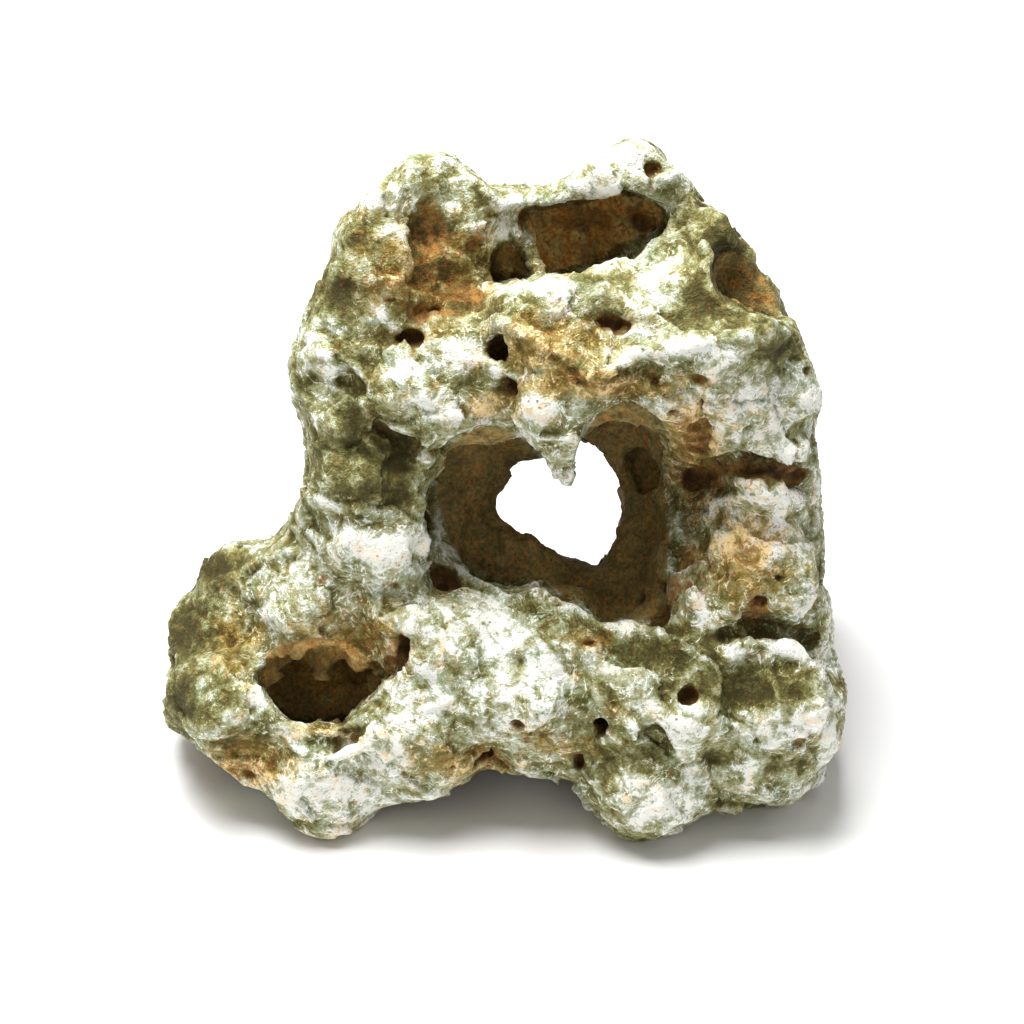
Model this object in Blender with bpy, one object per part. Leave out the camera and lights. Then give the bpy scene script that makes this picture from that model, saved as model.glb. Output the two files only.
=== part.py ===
"""A holey Jura limestone rock that stands on its own, as one closed stone. Metres, +Z up, face towards -Y."""

import math

import bmesh
import bpy
from mathutils import Euler, Matrix, Vector
from mathutils.bvhtree import BVHTree

MM = 0.001

# The stone is laid out from one viewpoint in front of it and above it, in millimetres.
# A pixel of the 1024 x 1024 picture seen from there is a sight line, and a depth picks a point on it.
PICTURE_SIDE = 1024
AIM = Vector((0.0, 40.0, 95.0))
ELEVATION = math.radians(36.0)
EYE_DISTANCE = 753.0
HALF_WIDTH_AT_AIM = 150.6

FORWARD = Vector((0.0, math.cos(ELEVATION), -math.sin(ELEVATION)))
PICTURE_UP = Vector((0.0, math.sin(ELEVATION), math.cos(ELEVATION)))
EYE = AIM - FORWARD * EYE_DISTANCE

# The edge of the stone against what is behind it, in pixels.
OUTLINE = (
    (430, 154), (452, 158), (472, 176), (487, 189), (510, 190), (540, 188), (568, 181), (592, 160),
    (612, 146), (636, 140), (655, 153), (680, 180), (700, 200), (722, 216), (741, 242), (760, 270),
    (777, 292), (790, 325), (806, 358), (820, 386), (823, 399), (813, 415), (811, 440), (818, 480),
    (820, 540), (822, 590), (831, 615), (829, 650), (843, 690), (841, 730), (836, 768), (812, 796),
    (780, 810), (742, 808), (712, 806), (690, 833), (660, 848), (640, 852), (622, 836), (594, 818),
    (574, 788), (554, 777), (519, 771), (506, 782), (480, 784), (462, 800), (438, 818), (413, 821),
    (388, 813), (360, 830), (330, 842), (302, 851), (288, 834), (284, 806), (250, 790), (215, 760),
    (188, 731), (163, 722), (168, 690), (176, 662), (168, 640), (174, 604), (197, 588), (206, 560),
    (234, 545), (266, 546), (290, 528), (303, 495), (310, 460), (308, 425), (296, 395), (293, 365),
    (303, 325), (322, 285), (334, 240), (352, 214), (380, 184), (410, 158),
)
OUTLINE_DEPTHS = (-60.0, 220.0)

# Openings in the face, each cut back along the sight lines from one depth in millimetres to two more,
# the first at its lowest pixel and the second at its highest, inside an outline in pixels.
MOUTHS = {
    "heart": (-60, 32, 38, (
        (565, 487), (556, 470), (540, 452), (522, 431), (492, 421), (462, 431), (440, 455), (431, 490),
        (438, 528), (452, 553), (474, 571), (508, 590), (543, 586), (562, 600), (588, 611), (606, 621),
        (640, 624), (664, 628), (672, 600), (668, 570), (674, 540), (670, 500), (668, 470), (664, 432),
        (652, 405), (625, 399), (597, 407), (580, 430), (572, 458),
    )),
    "through": (27, 220, 220, (
        (505, 499), (521, 477), (548, 457), (575, 438), (583, 434), (600, 447), (612, 474), (622, 510),
        (616, 545), (598, 569), (568, 561), (540, 546), (522, 521),
    )),
    "pocket": (-60, 64, 80, (
        (540, 277), (575, 270), (605, 262), (625, 248), (650, 236), (668, 222), (666, 205), (648, 194),
        (620, 188), (598, 192), (575, 200), (545, 204), (518, 208), (524, 226), (534, 250),
    )),
    "pocket_side": (-60, 70, 66, (
        (494, 286), (486, 271), (492, 252), (507, 238), (520, 248), (534, 275), (520, 283),
    )),
    "notch": (-60, 64, 68, (
        (715, 293), (708, 268), (716, 248), (738, 246), (764, 266), (783, 296), (786, 320), (764, 320),
        (737, 308),
    )),
    "cup": (-60, 36, 12, (
        (262, 655), (278, 640), (310, 632), (345, 636), (372, 654), (386, 680), (376, 700), (352, 714),
        (330, 725), (304, 725), (282, 716), (264, 700), (258, 678),
    )),
}

# Each lump of the stone: centre and half sizes in millimetres, and its turn about X, Y and Z in degrees.
LUMPS = {
    "bar_right_end": ((74, 32, 36), (30, 34, 38), (0, 0, 0)),
    "bar_right_top": ((62, 22, 52), (36, 18, 13), (0, 0, 0)),
    "bar_right": ((42, 24, 38), (30, 26, 36), (0, 0, 0)),
    "bar_middle": ((10, 27, 39), (36, 28, 32), (0, -6, 0)),
    "bar_left": ((-26, 28, 44), (36, 28, 34), (0, 12, 0)),
    "bar_left_low": ((-34, 22, 22), (28, 20, 19), (0, 0, 0)),
    "foot_left": ((-58, 14, 17), (18, 20, 22), (0, 0, 0)),
    "foot_right": ((40, 11, 16), (20, 18, 22), (0, 0, 0)),
    "foot_far_right": ((76, 26, 16), (24, 24, 22), (0, 0, 0)),
    "wing_low": ((-78, 46, 31), (34, 42, 32), (0, 0, 0)),
    "wing_high": ((-82, 64, 52), (28, 28, 28), (0, 0, 0)),
    "wing_shoulder": ((-56, 48, 62), (28, 30, 26), (0, 0, 0)),
    "column_left_low": ((-42, 56, 88), (32, 34, 50), (0, 0, 0)),
    "column_left_high": ((-42, 66, 138), (34, 32, 50), (0, 0, 0)),
    "horn_left": ((-27, 80, 172), (30, 26, 38), (0, 0, 0)),
    "brow_left": ((-14, 58, 140), (34, 32, 30), (0, 0, 0)),
    "brow": ((16, 58, 148), (46, 32, 27), (0, 0, 0)),
    "brow_right": ((48, 56, 146), (36, 32, 26), (0, 0, 0)),
    "horn_right": ((36, 80, 172), (30, 26, 34), (0, 0, 0)),
    "shoulder_right": ((66, 68, 142), (36, 36, 50), (0, 0, 0)),
    "lobe_right_low": ((69, 46, 68), (28, 27, 27), (0, 0, 0)),
    "lobe_right_high": ((74, 46, 120), (24, 24, 17), (0, 0, 0)),
    "groove_back": ((78, 64, 98), (28, 24, 28), (0, 0, 0)),
    "base_right": ((66, 78, 44), (40, 48, 46), (0, 0, 0)),
    "base_left": ((-52, 78, 42), (42, 50, 44), (0, 0, 0)),
    "foot_back_left": ((-50, 92, 14), (22, 24, 20), (0, 0, 0)),
    "foot_back_right": ((62, 94, 14), (22, 22, 18), (0, 0, 0)),
    "base_back": ((4, 88, 40), (70, 40, 44), (0, 0, 0)),
    "back_left": ((-42, 88, 88), (40, 34, 60), (0, 0, 0)),
    "back_right": ((54, 90, 94), (42, 32, 62), (0, 0, 0)),
    "back_middle": ((6, 92, 118), (40, 28, 34), (0, 0, 0)),
    "back_top": ((2, 88, 152), (54, 28, 46), (0, 0, 0)),
}

# What the openings widen into, a tunnel to the back, the arched underside and dents behind, as LUMPS.
HOLLOWS = {
    "cave_left": ((-9, 44, 94), (20, 24, 24), (-30, 0, 0)),
    "cave_right": ((32, 47, 90), (14, 28, 36), (-30, 0, 0)),
    "tunnel_back": ((14, 96, 60), (27, 36, 22), (-36, 0, 0)),
    "tunnel_exit": ((12, 126, 38), (28, 20, 24), (-20, 0, 0)),
    "recess": ((48, 12, 96), (17, 17, 40), (-24, 0, 0)),
    "pocket_floor": ((24, 68, 164), (22, 16, 18), (0, 0, 0)),
    "notch_floor": ((68, 64, 156), (12, 12, 16), (0, 0, 0)),
    "cup_floor": ((-60, 32, 36), (17, 14, 11), (0, 0, 0)),
    "cup_scoop": ((-52, 2, 66), (22, 22, 17), (0, 10, 0)),
    "underside": ((6, 58, -2), (54, 30, 24), (0, 0, 0)),
    "arch_front": ((6, 2, 0), (20, 18, 18), (0, 0, 0)),
    "arch_back": ((-8, 106, 0), (26, 34, 17), (0, 0, 0)),
    "back_scoop_left": ((-44, 132, 120), (22, 18, 26), (0, 0, 0)),
    "back_scoop_right": ((60, 134, 84), (24, 20, 22), (0, 0, 0)),
    "back_scoop_top": ((10, 126, 168), (20, 18, 16), (0, 0, 0)),
    "side_scoop_left": ((-122, 70, 40), (18, 16, 12), (0, 0, 0)),
    "side_scoop_right": ((116, 78, 66), (18, 18, 16), (0, 0, 0)),
}

# Bumps on the face: the pixel of each, and in millimetres its half width, half height and how far it
# stands out.
BUMPS = (
    ((330, 430), (10, 8, 5)), ((395, 400), (10, 12, 5)), ((350, 485), (12, 9, 5)), ((325, 350), (9, 9, 4)),
    ((415, 480), (8, 12, 4)), ((395, 200), (12, 10, 4)), ((375, 265), (10, 10, 4)), ((465, 250), (8, 12, 4)),
    ((520, 306), (14, 6, 4)), ((590, 296), (12, 6, 4)), ((655, 300), (12, 9, 4)), ((700, 350), (13, 9, 5)),
    ((765, 410), (15, 9, 6)), ((764, 566), (18, 20, 10)), ((550, 640), (16, 8, 4)), ((470, 625), (14, 9, 4)),
    ((510, 700), (16, 11, 5)), ((625, 700), (13, 13, 4)), ((705, 720), (15, 13, 5)), ((785, 715), (13, 14, 4)),
    ((405, 745), (13, 13, 5)), ((300, 770), (14, 9, 4)), ((215, 690), (11, 14, 5)), ((225, 620), (13, 8, 4)),
    ((455, 770), (12, 8, 4)), ((640, 800), (10, 12, 4)), ((370, 545), (13, 8, 4)), ((640, 170), (10, 8, 3)),
)

# Ledges and edges of the face: the radius of each in millimetres, and the pixels that it runs through.
RIDGES = {
    "brow_ledge": (4.4, ((505, 322), (560, 352), (600, 374), (640, 352), (720, 347), (760, 332))),
    "bar_edge_left": (4.5, ((424, 505), (432, 540), (446, 562), (468, 579), (510, 598), (545, 594))),
    "bar_edge_right": (4.6, ((562, 608), (588, 619), (606, 630), (645, 636), (690, 642))),
    "right_end_edge": (4.0, ((712, 650), (760, 643), (798, 657), (824, 682))),
    "cup_rim": (3.0, ((256, 690), (280, 724), (308, 734), (338, 730), (368, 708), (392, 682))),
    "wing_ridge": (4.0, ((200, 592), (230, 586), (248, 572), (290, 552))),
    "lobe_edge": (3.5, ((706, 512), (726, 500), (760, 498), (795, 506))),
    "horn_edge": (3.0, ((487, 196), (510, 202), (540, 200), (575, 194))),
    "column_edge": (3.0, ((440, 320), (428, 370), (430, 420), (424, 460))),
}

# Pieces that stand free inside the openings: points as a pixel and a depth, with the radius there.
SPURS = {
    "tooth": (
        ((560, 385), 32, 11), ((556, 410), 27, 10), ((558, 430), 26, 7.5), ((562, 450), 27, 5),
        ((564, 468), 28, 3.4), ((565, 480), 29, 2.2),
    ),
    "blade": (((508, 200), 78, 4.5), ((518, 226), 72, 3.5), ((530, 252), 67, 3), ((539, 276), 62, 3)),
    "spur": (((690, 597), 18, 2.5), ((697, 608), 17, 4), ((704, 624), 18, 6), ((708, 645), 20, 8)),
}

# Pits in the face: the pixel of each, and in millimetres its half width, half height and depth.
PITS = (
    ((500, 350), (4.5, 4.5, 9)), ((513, 385), (3.3, 3.3, 6)), ((445, 580), (6, 5, 9)), ((602, 728), (4, 4, 8)),
    ((580, 758), (2.6, 3.6, 5)), ((690, 695), (3.6, 3.6, 5)), ((412, 338), (3.6, 3.2, 4)), ((655, 170), (3, 3, 4)),
    ((612, 325), (6.5, 3.6, 4)), ((403, 648), (4, 6, 7)), ((485, 755), (5.5, 4.5, 4)), ((760, 605), (4, 3, 3)),
    ((590, 642), (3.4, 2.6, 3)), ((445, 308), (11, 5, 4)), ((430, 232), (8, 8, 3)), ((700, 425), (5, 4, 4)),
    ((645, 225), (6, 4, 5)), ((205, 650), (5, 6, 3)), ((352, 440), (5, 6, 3)),
    ((520, 665), (3, 3, 3)), ((355, 590), (10, 5, 3)), ((745, 690), (10, 6, 3)), ((655, 740), (5, 9, 3)),
)

# Long narrow hollows in the face: the radius of each in millimetres, and the pixels that it runs through.
GROOVES = {
    "above_lobe": (6.4, ((690, 480), (716, 468), (745, 464), (775, 470), (800, 480), (835, 488))),
    "below_lobe": (4.6, ((716, 632), (745, 624), (780, 628), (810, 640), (836, 664))),
}

# How finely each solid is made, in millimetres: the spacing of balls along a run, and the voxels.
STEP_ALONG = 1.5
BODY_VOXEL = 2.0
OPENINGS_VOXEL = 1.6
DETAIL_VOXEL = 1.2
SKIN_VOXEL = 1.8
BLOB_DETAIL = 4
BALL_DETAIL = 2
TRIANGLES = 9300

# How each surface wanders: the pattern, its size and its depth in millimetres.
BODY_SWELLS = ("CLOUDS", 36, 14)
OPENINGS_SWELLS = ("CLOUDS", 14, 3)
SKIN_SCALLOPS = ("VORONOI", 22, 5)
SKIN_LUMPS = ("CLOUDS", 10, 4)
SMOOTHING = 0.5

# The side of the block below the floor, in metres, then the stone's colour and surface.
FLOOR_BLOCK = 0.6
STONE_COLOUR = (0.36, 0.33, 0.22, 1.0)
STONE_ROUGHNESS = 0.9


def sight(pixel, depth):
    """The point in millimetres where a pixel's sight line crosses the upright plane y = depth."""
    ray = sight_ray(pixel)
    return EYE + ray * ((depth - EYE.y) / ray.y)


def sight_ray(pixel):
    half = PICTURE_SIDE / 2
    across = (pixel[0] - half) / half * HALF_WIDTH_AT_AIM / EYE_DISTANCE
    up = (half - pixel[1]) / half * HALF_WIDTH_AT_AIM / EYE_DISTANCE
    return FORWARD + Vector((across, 0.0, 0.0)) + PICTURE_UP * up


def clear_scene():
    for obj in list(bpy.data.objects):
        bpy.data.objects.remove(obj)


def add_object(name, builder):
    mesh = bpy.data.meshes.new(name)
    builder.to_mesh(mesh)
    builder.free()
    obj = bpy.data.objects.new(name, mesh)
    bpy.context.scene.collection.objects.link(obj)
    return obj


def add_blob(builder, place, radii):
    """Adds an ellipsoid with its centre and axes as place, all in millimetres."""
    size = Matrix.Diagonal((*radii, 1.0))
    matrix = Matrix.Scale(MM, 4) @ place @ size
    bmesh.ops.create_icosphere(builder, subdivisions=BLOB_DETAIL, radius=1.0, matrix=matrix)


def add_ball(builder, centre, radius):
    matrix = Matrix.Translation(centre * MM) @ Matrix.Scale(radius * MM, 4)
    bmesh.ops.create_icosphere(builder, subdivisions=BALL_DETAIL, radius=1.0, matrix=matrix)


def add_blobs(builder, table):
    for centre, radii, turn in table.values():
        turned = Euler([math.radians(angle) for angle in turn]).to_matrix().to_4x4()
        add_blob(builder, Matrix.Translation(Vector(centre)) @ turned, radii)


def add_sight_cone(builder, near, fars, pixels):
    """Adds the closed solid inside an outline of sight lines, from one depth back to a leaning end."""
    low, high = fars
    heights = [pixel[1] for pixel in pixels]
    top, bottom = min(heights), max(heights)
    front = [builder.verts.new(sight(pixel, near) * MM) for pixel in pixels]
    back = []
    for pixel in pixels:
        share = (bottom - pixel[1]) / (bottom - top)
        back.append(builder.verts.new(sight(pixel, low + (high - low) * share) * MM))
    count = len(pixels)
    caps = [builder.faces.new(front[::-1]), builder.faces.new(back)]
    sides = []
    for i in range(count):
        j = (i + 1) % count
        sides.append(builder.faces.new((front[i], front[j], back[j], back[i])))
    capped = bmesh.ops.triangulate(builder, faces=caps)["faces"]
    bmesh.ops.recalc_face_normals(builder, faces=capped + sides)


def chain(points):
    """Points every STEP_ALONG or so along a broken line of (point, radius)."""
    for (a, a_radius), (b, b_radius) in zip(points, points[1:]):
        count = max(1, round((b - a).length / STEP_ALONG))
        for i in range(count):
            yield a.lerp(b, i / count), a_radius + (b_radius - a_radius) * i / count
    yield points[-1]


class Face:
    """The surface of a body as it is met by the sight lines."""

    def __init__(self, body):
        self.tree = BVHTree.FromObject(body, bpy.context.evaluated_depsgraph_get())

    def at(self, pixel):
        """The point in millimetres and the outward normal where a pixel's sight line meets the body."""
        point, normal, _, _ = self.tree.ray_cast(EYE * MM, sight_ray(pixel).normalized())
        return point / MM, normal

    def frame(self, pixel):
        """The place of a blob at a pixel: X across the surface, Y up it and Z out of it."""
        point, normal = self.at(pixel)
        across = Vector((1.0, 0.0, 0.0))
        across = (across - normal * across.dot(normal)).normalized()
        axes = Matrix((across, normal.cross(across), normal)).transposed().to_4x4()
        return Matrix.Translation(point) @ axes

    def run(self, pixels, radius):
        return chain([(self.at(pixel)[0], radius) for pixel in pixels])


def remesh(obj, voxel):
    modifier = obj.modifiers.new("Remesh", "REMESH")
    modifier.mode = "VOXEL"
    modifier.voxel_size = voxel * MM
    modifier.use_smooth_shade = True


def smooth(obj, repeats):
    modifier = obj.modifiers.new("Smooth", "SMOOTH")
    modifier.factor = SMOOTHING
    modifier.iterations = repeats


def ripple(obj, pattern):
    """Moves the surface in and out by half the pattern's depth."""
    kind, size, depth = pattern
    texture = bpy.data.textures.new(kind, kind)
    texture.noise_scale = size * MM
    if kind == "VORONOI":
        texture.distance_metric = "DISTANCE_SQUARED"
    else:
        texture.noise_depth = 2
    modifier = obj.modifiers.new(kind, "DISPLACE")
    modifier.texture = texture
    modifier.strength = depth * MM
    modifier.mid_level = 0.5


def settle(obj):
    """Applies the modifiers so far."""
    graph = bpy.context.evaluated_depsgraph_get()
    mesh = bpy.data.meshes.new_from_object(obj.evaluated_get(graph))
    obj.modifiers.clear()
    obj.data = mesh


def combine(obj, other, operation):
    """Applies a Boolean with another closed object, which it uses up."""
    modifier = obj.modifiers.new(operation, "BOOLEAN")
    modifier.object = other
    modifier.operation = operation
    settle(obj)
    bpy.data.objects.remove(other)


def thin_out(obj):
    """Brings the mesh down to the triangles that a solid of this kind can have."""
    modifier = obj.modifiers.new("Decimate", "DECIMATE")
    modifier.ratio = TRIANGLES / sum(len(face.vertices) - 2 for face in obj.data.polygons)
    settle(obj)


def floor_block():
    """A block whose top is the floor: what it takes off leaves the flat spots that the stone stands on."""
    builder = bmesh.new()
    size = Matrix.Diagonal((FLOOR_BLOCK, FLOOR_BLOCK, FLOOR_BLOCK, 1.0))
    bmesh.ops.create_cube(builder, size=1.0, matrix=Matrix.Translation((0.0, 0.0, -FLOOR_BLOCK / 2)) @ size)
    return add_object("floor_block", builder)


def centre_over_origin(obj):
    """Puts the middle of the stone's box over the origin, and notes by how much the layout moved."""
    points = [vertex.co for vertex in obj.data.vertices]
    middle = [(min(p[i] for p in points) + max(p[i] for p in points)) / 2 for i in range(2)]
    shift = Vector((-middle[0], -middle[1], 0.0))
    obj.data.transform(Matrix.Translation(shift))
    obj["layout_shift"] = shift


def limestone():
    material = bpy.data.materials.new("limestone")
    material.use_nodes = True
    shader = material.node_tree.nodes["Principled BSDF"]
    shader.inputs["Base Color"].default_value = STONE_COLOUR
    shader.inputs["Roughness"].default_value = STONE_ROUGHNESS
    shader.inputs["Metallic"].default_value = 0.0
    return material


def rounded_body():
    builder = bmesh.new()
    add_blobs(builder, LUMPS)
    body = add_object("body", builder)
    remesh(body, BODY_VOXEL)
    smooth(body, 4)
    ripple(body, BODY_SWELLS)
    settle(body)
    return body


def stone_with_relief(body):
    """The body joined with the bumps and the ledges of its face."""
    face = Face(body)
    builder = bmesh.new()
    for pixel, radii in BUMPS:
        add_blob(builder, face.frame(pixel), radii)
    for radius, pixels in RIDGES.values():
        for centre, size in face.run(pixels, radius):
            add_ball(builder, centre, size)
    builder.from_mesh(body.data)
    bpy.data.objects.remove(body)
    stone = add_object("stone", builder)
    remesh(stone, BODY_VOXEL)
    settle(stone)
    return stone


def outline():
    near, far = OUTLINE_DEPTHS
    builder = bmesh.new()
    add_sight_cone(builder, near, (far, far), OUTLINE)
    return add_object("outline", builder)


def openings(face):
    """The mouths, the hollows that they widen into and the grooves, as one cutter."""
    builder = bmesh.new()
    add_blobs(builder, HOLLOWS)
    for near, low, high, pixels in MOUTHS.values():
        add_sight_cone(builder, near, (low, high), pixels)
    for radius, pixels in GROOVES.values():
        for centre, size in face.run(pixels, radius):
            add_ball(builder, centre, size)
    cutter = add_object("openings", builder)
    remesh(cutter, OPENINGS_VOXEL)
    ripple(cutter, OPENINGS_SWELLS)
    remesh(cutter, OPENINGS_VOXEL)
    return cutter


def pits(face):
    builder = bmesh.new()
    for pixel, radii in PITS:
        add_blob(builder, face.frame(pixel), radii)
    cutter = add_object("pits", builder)
    remesh(cutter, DETAIL_VOXEL)
    return cutter


def spurs():
    builder = bmesh.new()
    for points in SPURS.values():
        for centre, size in chain([(sight(pixel, depth), radius) for pixel, depth, radius in points]):
            add_ball(builder, centre, size)
    pieces = add_object("spurs", builder)
    remesh(pieces, DETAIL_VOXEL)
    return pieces


def weather(stone):
    """Gives the whole surface its scallops and lumps."""
    remesh(stone, SKIN_VOXEL)
    smooth(stone, 2)
    ripple(stone, SKIN_SCALLOPS)
    ripple(stone, SKIN_LUMPS)
    settle(stone)


def main():
    clear_scene()
    stone = stone_with_relief(rounded_body())
    uncut_face = Face(stone)
    combine(stone, outline(), "INTERSECT")
    combine(stone, openings(uncut_face), "DIFFERENCE")
    combine(stone, pits(Face(stone)), "DIFFERENCE")
    combine(stone, spurs(), "UNION")
    weather(stone)
    thin_out(stone)
    combine(stone, floor_block(), "DIFFERENCE")
    centre_over_origin(stone)
    stone.data.materials.clear()
    stone.data.materials.append(limestone())


main()
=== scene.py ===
"""The looks of a holey Jura limestone rock: olive stone, a chalky crust, and rust in its hollows."""

import math

import bmesh
import bpy
import numpy as np
from mathutils import Matrix, Vector, noise
from mathutils.bvhtree import BVHTree


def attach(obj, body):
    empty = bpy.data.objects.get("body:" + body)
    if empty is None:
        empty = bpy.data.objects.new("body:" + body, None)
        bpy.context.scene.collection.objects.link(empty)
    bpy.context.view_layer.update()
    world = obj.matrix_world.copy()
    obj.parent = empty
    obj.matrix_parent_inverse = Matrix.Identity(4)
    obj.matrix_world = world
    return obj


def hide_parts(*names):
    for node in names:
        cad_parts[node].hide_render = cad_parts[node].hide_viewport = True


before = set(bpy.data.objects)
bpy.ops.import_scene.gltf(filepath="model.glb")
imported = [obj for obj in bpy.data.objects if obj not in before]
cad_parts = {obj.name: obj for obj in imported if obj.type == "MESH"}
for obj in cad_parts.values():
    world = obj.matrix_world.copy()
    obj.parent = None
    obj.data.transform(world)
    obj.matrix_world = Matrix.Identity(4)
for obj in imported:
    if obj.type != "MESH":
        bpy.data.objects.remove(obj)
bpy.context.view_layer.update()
MM = 0.001

# The viewpoint that the stone was laid out from, in millimetres, and how far the layout then moved.
PICTURE_SIDE = 1024
LAYOUT_SHIFT = Vector((2.7569, -59.5304, 0.0))
AIM = Vector((0.0, 40.0, 95.0)) + LAYOUT_SHIFT
ELEVATION = math.radians(36.0)
EYE_DISTANCE = 753.0
HALF_WIDTH_AT_AIM = 150.6
FORWARD = Vector((0.0, math.cos(ELEVATION), -math.sin(ELEVATION)))
PICTURE_UP = Vector((0.0, math.sin(ELEVATION), math.cos(ELEVATION)))
EYE = AIM - FORWARD * EYE_DISTANCE

# The edge of the stone against what is behind it, in pixels.
OUTLINE = (
    (430, 154), (452, 158), (472, 176), (487, 189), (510, 190), (540, 188), (568, 181), (592, 160),
    (612, 146), (636, 140), (655, 153), (680, 180), (700, 200), (722, 216), (741, 242), (760, 270),
    (777, 292), (790, 325), (806, 358), (820, 386), (823, 399), (813, 415), (811, 440), (818, 480),
    (820, 540), (822, 590), (831, 615), (829, 650), (843, 690), (841, 730), (836, 768), (812, 796),
    (780, 810), (742, 808), (712, 806), (690, 833), (660, 848), (640, 852), (622, 836), (594, 818),
    (574, 788), (554, 777), (519, 771), (506, 782), (480, 784), (462, 800), (438, 818), (413, 821),
    (388, 813), (360, 830), (330, 842), (302, 851), (288, 834), (284, 806), (250, 790), (215, 760),
    (188, 731), (163, 722), (168, 690), (176, 662), (168, 640), (174, 604), (197, 588), (206, 560),
    (234, 545), (266, 546), (290, 528), (303, 495), (310, 460), (308, 425), (296, 395), (293, 365),
    (303, 325), (322, 285), (334, 240), (352, 214), (380, 184), (410, 158),
)
OUTLINE_DEPTHS = (-120.0, 170.0)

# Openings in the face: from one depth back to two more, at the lowest and the highest pixel of an outline.
MOUTHS = {
    "heart": (-120, -28, -22, (
        (565, 487), (561, 476), (552, 463), (540, 452), (531, 440), (518, 430), (500, 423), (480, 422),
        (462, 430), (448, 441), (438, 457), (432, 476), (433, 500), (438, 520), (443, 540), (455, 558),
        (472, 572), (490, 580), (508, 590), (528, 583), (545, 586), (553, 592), (562, 602), (575, 604),
        (588, 611), (597, 622), (620, 624), (650, 626), (664, 628), (672, 612), (670, 594), (668, 574),
        (673, 556), (675, 538), (671, 516), (670, 498), (668, 478), (667, 455), (664, 432), (660, 416),
        (650, 404), (638, 400), (625, 398), (604, 404), (590, 416), (580, 432), (575, 450), (571, 470),
    )),
    "through": (-34, 160, 160, (
        (505, 499), (509, 488), (521, 477), (530, 468), (548, 457), (575, 438), (583, 434), (592, 440),
        (600, 447), (606, 458), (612, 474), (618, 492), (622, 512), (620, 530), (616, 545), (608, 560),
        (598, 570), (585, 566), (568, 561), (552, 553), (540, 546), (530, 534), (522, 521),
    )),
    "pocket": (-120, 6, 22, (
        (540, 277), (556, 275), (575, 270), (590, 268), (605, 262), (616, 251), (625, 248), (640, 240),
        (652, 237), (668, 222), (666, 205), (648, 194), (620, 189), (598, 193), (575, 201), (545, 205),
        (518, 209), (521, 222), (529, 236), (534, 256),
    )),
    "pocket_side": (-120, 10, 6, (
        (494, 286), (486, 271), (492, 252), (507, 238), (518, 246), (528, 260), (534, 275), (520, 283),
    )),
    "notch": (-120, 4, 8, (
        (715, 293), (710, 280), (708, 266), (716, 250), (726, 246), (738, 247), (750, 254), (764, 268),
        (776, 286), (784, 300), (786, 318), (772, 322), (760, 316), (748, 316), (736, 307), (726, 302),
    )),
    "cup": (-120, -24, -48, (
        (262, 655), (268, 646), (280, 639), (296, 635), (312, 632), (330, 633), (347, 637), (360, 645),
        (374, 656), (386, 680), (378, 696), (366, 705), (352, 714), (344, 724), (330, 726), (318, 722),
        (304, 726), (290, 722), (278, 712), (266, 700), (259, 680),
    )),
}

# Ledges and edges of the face: the radius of each in millimetres, and the pixels that it runs through.
RIDGES = {
    "brow_ledge": (2.0, ((500, 320), (522, 334), (560, 354), (600, 376), (640, 352), (690, 346), (765, 332))),
    "bar_edge_left": (1.8, ((428, 512), (436, 545), (450, 566), (470, 580), (510, 597), (545, 593))),
    "bar_edge_right": (2.0, ((556, 602), (574, 610), (592, 624), (610, 630), (650, 634), (688, 642))),
    "right_end_edge": (2.4, ((728, 655), (760, 642), (795, 652), (822, 678), (834, 700))),
    "cup_rim": (1.8, ((254, 690), (276, 722), (306, 733), (338, 730), (364, 710), (390, 684))),
    "wing_ridge": (2.2, ((190, 596), (215, 586), (238, 578), (255, 566), (292, 550))),
    "wing_low_ridge": (1.8, ((292, 744), (330, 760), (372, 742), (408, 716), (450, 700))),
    "foot_ridge": (1.8, ((300, 842), (322, 800), (352, 770))),
    "lobe_edge": (2.0, ((704, 520), (714, 503), (740, 496), (768, 492), (795, 500), (808, 520))),
    "lobe_high_edge": (1.8, ((716, 452), (740, 446), (772, 452), (800, 458))),
    "horn_edge": (1.6, ((484, 192), (496, 205), (520, 203), (545, 201), (575, 196))),
    "horn_right_edge": (1.6, ((596, 196), (606, 176), (622, 160), (640, 154))),
    "column_edge": (1.8, ((436, 322), (428, 352), (424, 400), (430, 432), (424, 462))),
    "column_scallop_a": (1.5, ((304, 372), (322, 352), (352, 362), (372, 388), (364, 420))),
    "column_scallop_b": (1.5, ((312, 442), (336, 428), (362, 438), (384, 462), (378, 492))),
    "column_scallop_c": (1.4, ((384, 348), (404, 362), (420, 352), (438, 366))),
    "shoulder_edge": (1.8, ((690, 224), (706, 250), (712, 292), (735, 310), (765, 322), (786, 334))),
    "groove_edge": (1.5, ((700, 440), (728, 450), (760, 444), (790, 452), (812, 470))),
    "vein": (1.1, ((742, 790), (756, 772), (764, 752), (788, 738))),
    "foot_right_edge": (1.8, ((642, 780), (660, 800), (662, 830), (648, 846))),
}

# Pieces that stand free inside the openings: points as a pixel and a depth, with the radius there.
SPURS = {
    "tooth": (
        ((546, 404), -30, 6), ((550, 428), -33, 5), ((558, 450), -33, 4), ((563, 466), -32, 3.2),
        ((566, 479), -31, 2.2),
    ),
    "blade": (
        ((510, 202), 18, 3.4), ((520, 228), 12, 2.8), ((531, 253), 7, 2.4), ((539, 277), 2, 2.4),
    ),
    "spur": (((690, 592), -42, 2.0), ((696, 604), -42, 2.8), ((704, 618), -42, 3.6), ((708, 634), -42, 4.5)),
}

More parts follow.
